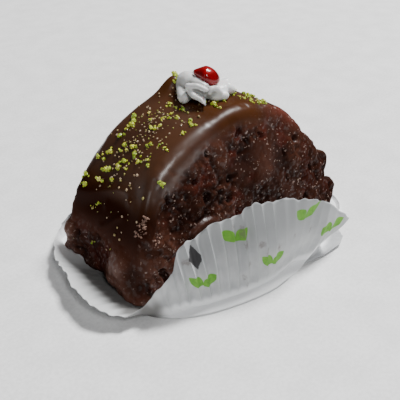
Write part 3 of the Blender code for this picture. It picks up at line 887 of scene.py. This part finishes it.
# The print repeats every so many mm along the wall and up it, from a first row at a height
PRINT_ALONG = 27
PRINT_UP = 13
PRINT_FIRST = 4
LEAF_HALF = (3.1, 1.9)
LEAF_GREENS = ((0.10, 0.32, 0.014), (0.16, 0.42, 0.026))
PAPER_WHITES = ((0.44, 0.45, 0.46), (0.56, 0.57, 0.57))
PAPER_HIGH = (0.34, 0.35, 0.355)
PAPER_FOOT = (0.93, 0.94, 0.95)
PAPER_INSIDE = ((0.56, 0.57, 0.57), (0.84, 0.85, 0.86))
PAPER_PAINTED_SHADOW = (0.13, 0.125, 0.12)
SMEAR_BROWN = (0.16, 0.125, 0.11)
BLOT_BROWN = (0.020, 0.018, 0.020)
CASE_STATIONS = (
    ((-50.5, 13, 0), (-60.0, 14.0, 6.4)),
    ((-50.5, 2, 0), (-62.6, 4.5, 7.0)),
    ((-50.5, -8, 0), (-65.0, -9, 7)),
    ((-50.5, -18, 0), (-65.0, -19, 7)),
    ((-50.3, -25, 0), (-59.5, -27, 5)),
    ((-49.0, -29, 0), (-52.6, -29.2, 6.2)),
    ((-45.2, -33.5, 0), (-48.6, -31, 12)),
    ((-41.5, -36.4, 0), (-42.4, -31.6, 17)),
    ((-37.0, -39.2, 0), (-39.4, -31.5, 24)),
    ((-31.0, -41.7, 0), (-32, -32.6, 27)),
    ((-20.0, -44.7, 0), (-18.5, -36, 30)),
    ((-9.0, -46.2, 0), (-10, -39.5, 34)),
    ((2.0, -45.3, 0), (3.5, -44, 31.4)),
    ((7.9, -44.5, 1.6), (16.0, -45.2, 25.2)),
    ((14.0, -44.5, 4.9), (24.0, -45.2, 19.0)),
    ((19.0, -44.4, 7.2), (32.3, -44.4, 12.0)),
    ((22.5, -44.2, 8.8), (27.5, -44.2, 10.6)),
    ((23.2, -44.0, 9.1), (23.6, -44, 9.3)),
    ((25.0, -37.5, 0), (25.5, -38.5, 1.2)),
    ((32.0, -34.5, 0), (32.5, -35.5, 1.2)),
    ((42.0, -31.5, 0), (42.6, -32.5, 1.2)),
    ((50.6, -26.2, 0), (51.5, -27.1, 1.3)),
    ((54.8, -17, 0), (55.8, -17.4, 1.5)),
    ((56.0, 3, 0), (58.0, 4, 7)),
    ((55.5, 21, 0), (57.0, 23, 9)),
    ((47.0, 30, 0), (47.5, 32, 14)),
    ((34.0, 30, 0), (34.0, 32, 18)),
    ((12.0, 31, 0), (12.0, 32, 22)),
    ((-12.0, 31, 0), (-12.0, 32, 20)),
    ((-34.0, 30.5, 0), (-34.5, 32, 12)),
    ((-47.8, 29.8, 0), (-47.6, 30.9, 5.3)),
    ((-51.0, 23.0, 0), (-54.2, 22.9, 5.8)),
)
# Marks of chocolate on the wall: pixel of the photograph, half width and half height in mm, strength
STAIN_SPOTS = (
    ((242, 233), 1.4, 3.0, 0.55),
    ((247, 246), 1.2, 2.4, 0.50),
    ((261, 246), 1.6, 1.6, 0.50),
    ((268, 252), 1.0, 2.2, 0.50),
    ((279, 248), 1.1, 2.6, 0.48),
    ((295, 236), 1.2, 1.6, 0.38),
    ((310, 229), 1.0, 2.0, 0.38),
    ((250, 265), 0.8, 2.4, 0.40),
    ((244, 276), 1.0, 2.0, 0.40),
    ((248, 283), 1.0, 1.4, 0.36),
    ((233, 225), 0.8, 3.0, 0.36),
    ((186, 262), 2.4, 1.6, 0.50),
)
BLOT_SPOTS = (((193.5, 256), 2.1, 4.6, 1.0),)
# The flap of wall folded out flat under the right end: inner side and outer rim
FLAP_STATIONS = (
    ((5.0, -41.5, 0.4), (7.0, -43.4, 0.5)),
    ((9.0, -41.0, 0.5), (12.0, -44.6, 0.8)),
    ((15.0, -39.5, 0.6), (19.6, -45.6, 1.0)),
    ((22.0, -37.5, 0.7), (28.5, -45.4, 1.6)),
    ((25.0, -35.5, 0.8), (32.8, -43.3, 1.8)),
    ((27.0, -34.5, 0.8), (34.8, -39.8, 1.8)),
    ((29.0, -33.5, 0.8), (34.4, -35.0, 1.4)),
)


def closed_curve(points, count):
    """count points of the smooth closed curve through the stations, as Catmull-Rom cubics."""
    points = np.array(points, float)
    at = np.arange(count) * len(points) / count
    index, part = at.astype(int), (at % 1)[:, None]
    p0, p1, p2, p3 = (points[(index + step) % len(points)] for step in (-1, 0, 1, 2))
    bend = 2 * p0 - 5 * p1 + 4 * p2 - p3
    return 0.5 * (2 * p1 + (p2 - p0) * part + bend * part**2 + (3 * p1 - p0 - 3 * p2 + p3) * part**3)


def case_lines(columns):
    """The wall's foot and rim, the columns evenly spaced halfway up the wall, and the length along it."""
    foot = closed_curve([foot for foot, _ in CASE_STATIONS], CURVE_POINTS) * MM
    rim = closed_curve([rim for _, rim in CASE_STATIONS], CURVE_POINTS) * MM
    middle = (foot + rim) / 2
    steps = np.linalg.norm(np.roll(middle, -1, axis=0) - middle, axis=1)
    length = np.concatenate([[0], np.cumsum(steps)])
    wanted = np.arange(columns) * length[-1] / columns
    index = np.searchsorted(length, wanted, side="right") - 1
    foot[:, 2] = np.maximum(foot[:, 2], PAPER_THICK / 2)
    uneven = 1.0 * soft_noise(rim, 7 * MM, 93) + 0.8 * soft_noise(rim, 2.6 * MM, 94)
    rim[:, 2] += uneven * MM * fade(rim[:, 2], 8 * MM, 15 * MM)
    torn = 0.9 * soft_noise(rim, 5 * MM, 95) + 0.6 * soft_noise(rim, 2.2 * MM, 96)
    skirt = fade(-rim[:, 0], 44 * MM, 50 * MM) * fade(9 * MM - rim[:, 2], 0, 3 * MM)
    rim[:, 0] -= torn * MM * skirt
    rim[:, 2] = np.maximum(rim[:, 2], RIM_LOWEST)
    return foot[index], rim[index], wanted


def pleated(foot, knee, rim, outward, waviness):
    """Rows from knee to rim along a bowed line, moved in and out by the flutes, which start at the knee."""
    columns = len(foot)
    share = np.linspace(0, 1, WALL_ROWS)[:, None]
    wave = math.tau * np.arange(columns) / PLEAT_COLUMNS + 0.9 * soft_noise(foot, 16 * MM, 90)
    fold = 1.1 - 2 * np.abs(np.sin(wave / 2)) ** 0.8
    strength = waviness * (1 + 0.5 * soft_noise(foot, 9 * MM, 91))
    calm_rim = 1 - 0.6 * waviness * fade(share, 0.65, 1)
    growth = waviness + (1 - waviness) * share**2
    depth = PLEAT_DEPTH * strength * fade(share, 0, 0.16) * calm_rim * growth
    bow = WALL_BOW * np.sin(math.pi * share) * rim[:, 2] / (30 * MM)
    wall = knee + (rim - knee) * share[..., None]
    crumple = soft_noise(wall, 11 * MM, 92) * 0.9 * MM * fade(share, 0.1, 1.0)
    crumple *= fade(rim[:, 2], 2 * MM, 12 * MM)
    return wall + outward * (bow + depth * fold + crumple)[..., None], share


def case_grid():
    """Base rings, a plain band that slants in from the foot, then the fluted wall.

    Where the wall is lifted off the table the base stays down, set back by half the lift.
    """
    columns = PLEATS * PLEAT_COLUMNS
    foot, rim, along = case_lines(columns)
    tangent = np.roll(foot + rim, -6, axis=0) - np.roll(foot + rim, 6, axis=0)
    outward = np.cross(tangent, rim - foot)
    outward /= np.linalg.norm(outward, axis=1)[:, None] + 1e-9
    inward = np.cross([0, 0, 1], tangent) / np.linalg.norm(tangent[:, :2], axis=1)[:, None]
    lift = foot[:, 2:] - PAPER_THICK / 2
    down = foot + lift * np.array([0, 0.5, -1])
    rings = 0.96 * (1 - np.arange(BASE_RINGS + 1) / BASE_RINGS)[:, None, None]
    base = down + (np.array(BASE_MIDDLE) - down) * rings
    height = fade(rim[:, 2], 2 * MM, 25 * MM)[:, None] * fade(-lift, -3 * MM, 0)
    knee = foot + height * (inward * BAND_REACH + np.array([0, 0, BAND_RISE]))
    waviness = 0.24 + 0.76 * fade(rim[:, 2], 7 * MM, 15 * MM)
    waviness *= 1 - 0.5 * fade(rim[:, 0], -16 * MM, 4 * MM)
    wall, share = pleated(foot, knee, rim, outward, waviness)
    band = np.linspace(0, 1, BAND_ROWS)[:-1, None]
    wall = np.concatenate([foot + (knee - foot) * band[..., None], wall])
    share = np.concatenate([band * 0.08, 0.08 + 0.92 * share])
    points = np.concatenate([base, wall])
    points[..., 2] = np.maximum(points[..., 2], PAPER_THICK / 2)
    wall_length = np.linalg.norm(rim - foot, axis=1)
    up = np.concatenate([np.full((BASE_RINGS + 1, columns), -8 * MM), share * wall_length])
    return points, np.broadcast_to(along, up.shape), up


def flap_grid(columns=96):
    """The folded-out flap: rows from its inner side to its rim, with flattened flutes."""
    at = np.linspace(0, len(FLAP_STATIONS) - 1, columns)
    marks = np.arange(len(FLAP_STATIONS))
    sides = np.array(FLAP_STATIONS).transpose(1, 2, 0) * MM
    inner, rim = (np.stack([np.interp(at, marks, axis) for axis in side], axis=-1) for side in sides)
    up_axis = np.broadcast_to([0.0, 0.0, 1.0], inner.shape)
    points, share = pleated(inner, inner, rim, up_axis, np.full(columns, FLAP_WAVINESS))
    along, up = np.broadcast_arrays(np.linspace(0, FLAP_LENGTH, columns), share * FLAP_WIDTH)
    return points, along, up


def leaf(x, y, turn):
    """1 inside a pointed oval of LEAF_HALF mm at the middle, turned by an angle, 0 outside it."""
    u = x * math.cos(turn) + y * math.sin(turn)
    v = y * math.cos(turn) - x * math.sin(turn)
    edge_at = LEAF_HALF[1] * (1 - (u / LEAF_HALF[0]).squared())
    return (edge_at - v.math("ABSOLUTE")).fade(-0.08, 0.08)


def leaf_print(along, up):
    """1 on the printed pairs of leaves, 0 between them: rows of pairs, each row half a step on."""
    row = ((up - PRINT_FIRST) / PRINT_UP).math("FLOOR")
    column = (along / PRINT_ALONG + row * 0.5).math("FLOOR")
    x = along - (column - row * 0.5) * PRINT_ALONG - PRINT_ALONG / 2
    y = up - PRINT_FIRST - row * PRINT_UP - PRINT_UP / 2
    pair = leaf(x - 2.3, y - 1.2, 0.7) + leaf(x + 2.2, y - 1.8, 2.35)
    return pair.math("MINIMUM", 1.0)


def paper_finish():
    """White greaseproof paper: faint mottling, a leaf print, and chocolate where it was handled. Painted
    shade greys the wall towards its top and the inside of the flat left end towards the front, a painted
    shadow lies in that end next to the slice, and painted light brightens the band at the foot.
    """
    made, tree, shader, place = new_finish("greaseproof_paper", specular_ior_level=0.3)
    x, y, z = place.axes()
    along, up = tree.attribute("along") / MM, tree.attribute("up") / MM
    fibre = place.noise(6 * MM, 4)
    paper = fibre.fade(0.3, 0.7).mix(*PAPER_WHITES)
    # Painted shade: the wall turns darker grey towards its top.
    paper = z.fade(8 * MM, 26 * MM).mix(paper, PAPER_HIGH)
    # Painted light: the plain band at the foot is painted near white.
    paper = up.fade(6, 3).mix(paper, PAPER_FOOT)
    # Painted shade: the inside of the flat left end is darker towards the front.
    inside = y.fade(10 * MM, 20 * MM).mix(*PAPER_INSIDE)
    paper = x.fade(-46 * MM, -50 * MM).mix(paper, inside)
    # Painted shadow: the inside of the flat left end is painted dark next to the slice, low on the wall and
    # towards the front, with a jagged edge along the flutes.
    ridge = (along * (math.tau / 3.9)).math("SINE")
    painted_shadow = x.fade(-44 * MM, -49 * MM) * (up + 0.8 * ridge).fade(12, 5) * y.fade(12 * MM, 2 * MM)
    paper = (painted_shadow * 0.9).mix(paper, PAPER_PAINTED_SHADOW)
    green = place.noise(1.2 * MM, 2).fade(0.2, 0.8).mix(*LEAF_GREENS)
    printed = leaf_print(along, up) * up.fade(2.0, 2.4) * x.fade(-50 * MM, -48 * MM)
    color = (printed * 0.95).mix(paper, green)
    ragged = place.noise(1.1 * MM, 3, (0.4, 0.6, 0.1))
    smear = (tree.attribute("stain") * 1.3 - ragged).fade(-0.25, 0.3)
    color = (smear * 0.62).mix(color, SMEAR_BROWN)
    blot = (tree.attribute("blot") * 1.5 - 0.3 - 0.4 * ragged).fade(0.0, 0.15)
    color = (blot * 0.93).mix(color, BLOT_BROWN)
    feed(shader, base_color=color, roughness=0.55 + 0.2 * fibre)
    return made


def paper_spot(pixel):
    """Length along the wall and height up it, in mm, where the ray through a pixel meets the paper."""
    hit = paper_finder.ray_cast(CAMERA_PLACE, pixel_ray(pixel))[0]
    near = np.argmin(np.linalg.norm(case_points.reshape(-1, 3) - np.array(hit), axis=1))
    return case_along.ravel()[near] / MM, case_up.ravel()[near] / MM


def stains(spots, bow=2.0):
    """Chocolate marks on the wall, 0 to 1, for each (pixel, half width, half height, strength).

    A mark is a soft oval where bow is 2, and nears a diamond as bow nears 1.
    """
    total = np.zeros(case_up.shape)
    for pixel, half_width, half_height, strength in spots:
        along, up = paper_spot(pixel)
        across = np.abs((case_along / MM - along) / half_width)
        upward = np.abs((case_up / MM - up) / half_height)
        total = np.maximum(total, strength * np.exp(-((across**bow + upward**bow) ** 1.5)))
    return total


case_points, case_along, case_up = case_grid()
case_bottom = np.arange(case_up.shape[1])[None, ::-1]
case_blocks = [grid_faces(*case_up.shape, closed=True), case_bottom]
paper = paper_finish()
paper_finder = BVHTree.FromPolygons(case_points.reshape(-1, 3).tolist(), face_list(case_blocks))
marks = {"along": case_along, "up": case_up, "stain": stains(STAIN_SPOTS), "blot": stains(BLOT_SPOTS, 1.2)}
case = mesh_piece("pleated_paper_case", case_points, case_blocks, paper, marks)
flap_points, flap_along, flap_up = flap_grid()
flap_blocks = [grid_faces(*flap_up.shape)]
flap = mesh_piece("folded_case_flap", flap_points, flap_blocks, paper, {"along": flap_along, "up": flap_up})
for sheet in (case, flap):
    sheet.data.set_sharp_from_angle(angle=CREASE_ANGLE)
    thick = sheet.modifiers.new("paper", "SOLIDIFY")
    thick.thickness = PAPER_THICK
    thick.offset = 0
    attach(sheet, "root")
    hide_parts("paper_case")

# The studio. A wide table of pale stone, one large soft light high on the right, a small one in
# front and one on the left, and a weak even fill.
FILL = 0.08
FLOOR_HALF = 3
FLOOR_DROP = 0.05 * MM
FLOOR_GREYS = ((0.785, 0.785, 0.785), (0.92, 0.92, 0.92))
LIGHT_TARGET = (0, 0, 0.02)
# Each light's name, place, width, height and power
LIGHTS = (
    ("key", (1.34, 0.06, 2.10), 0.6, 0.6, 122),
    ("front", (-0.22, -0.66, 0.73), 0.16, 0.3, 2.8),
    ("left", (-0.95, -0.25, 0.50), 0.14, 0.14, 0.6),
)


def floor_finish():
    """Pale honed stone, very faintly mottled."""
    made, _, shader, place = new_finish("pale_stone")
    cloud = place.noise(14 * MM, 5)
    grain = place.noise(1.2 * MM, 3)
    color = (0.45 * cloud + 0.55 * grain).fade(0.34, 0.66).mix(*FLOOR_GREYS)
    feed(shader, base_color=color, roughness=0.6 + 0.2 * grain)
    return made


def area_light(name, place, width, height, power):
    data = bpy.data.lights.new(name, "AREA")
    data.shape, data.size, data.size_y, data.energy = "RECTANGLE", width, height, power
    light = bpy.data.objects.new(name, data)
    light.location = place
    light.rotation_euler = (Vector(LIGHT_TARGET) - Vector(place)).to_track_quat("-Z", "Y").to_euler()
    bpy.context.scene.collection.objects.link(light)


floor_points = np.array([(-1, -1, 0), (1, -1, 0), (1, 1, 0), (-1, 1, 0)], float) * FLOOR_HALF
floor = mesh_piece("table", floor_points, [np.array([[0, 1, 2, 3]])], floor_finish())
floor.location.z = -FLOOR_DROP
for light in LIGHTS:
    area_light(*light)
world = bpy.data.worlds.new("room")
world.use_nodes = True
world.node_tree.nodes["Background"].inputs["Color"].default_value = (FILL, FILL, FILL, 1)
bpy.context.scene.world = world
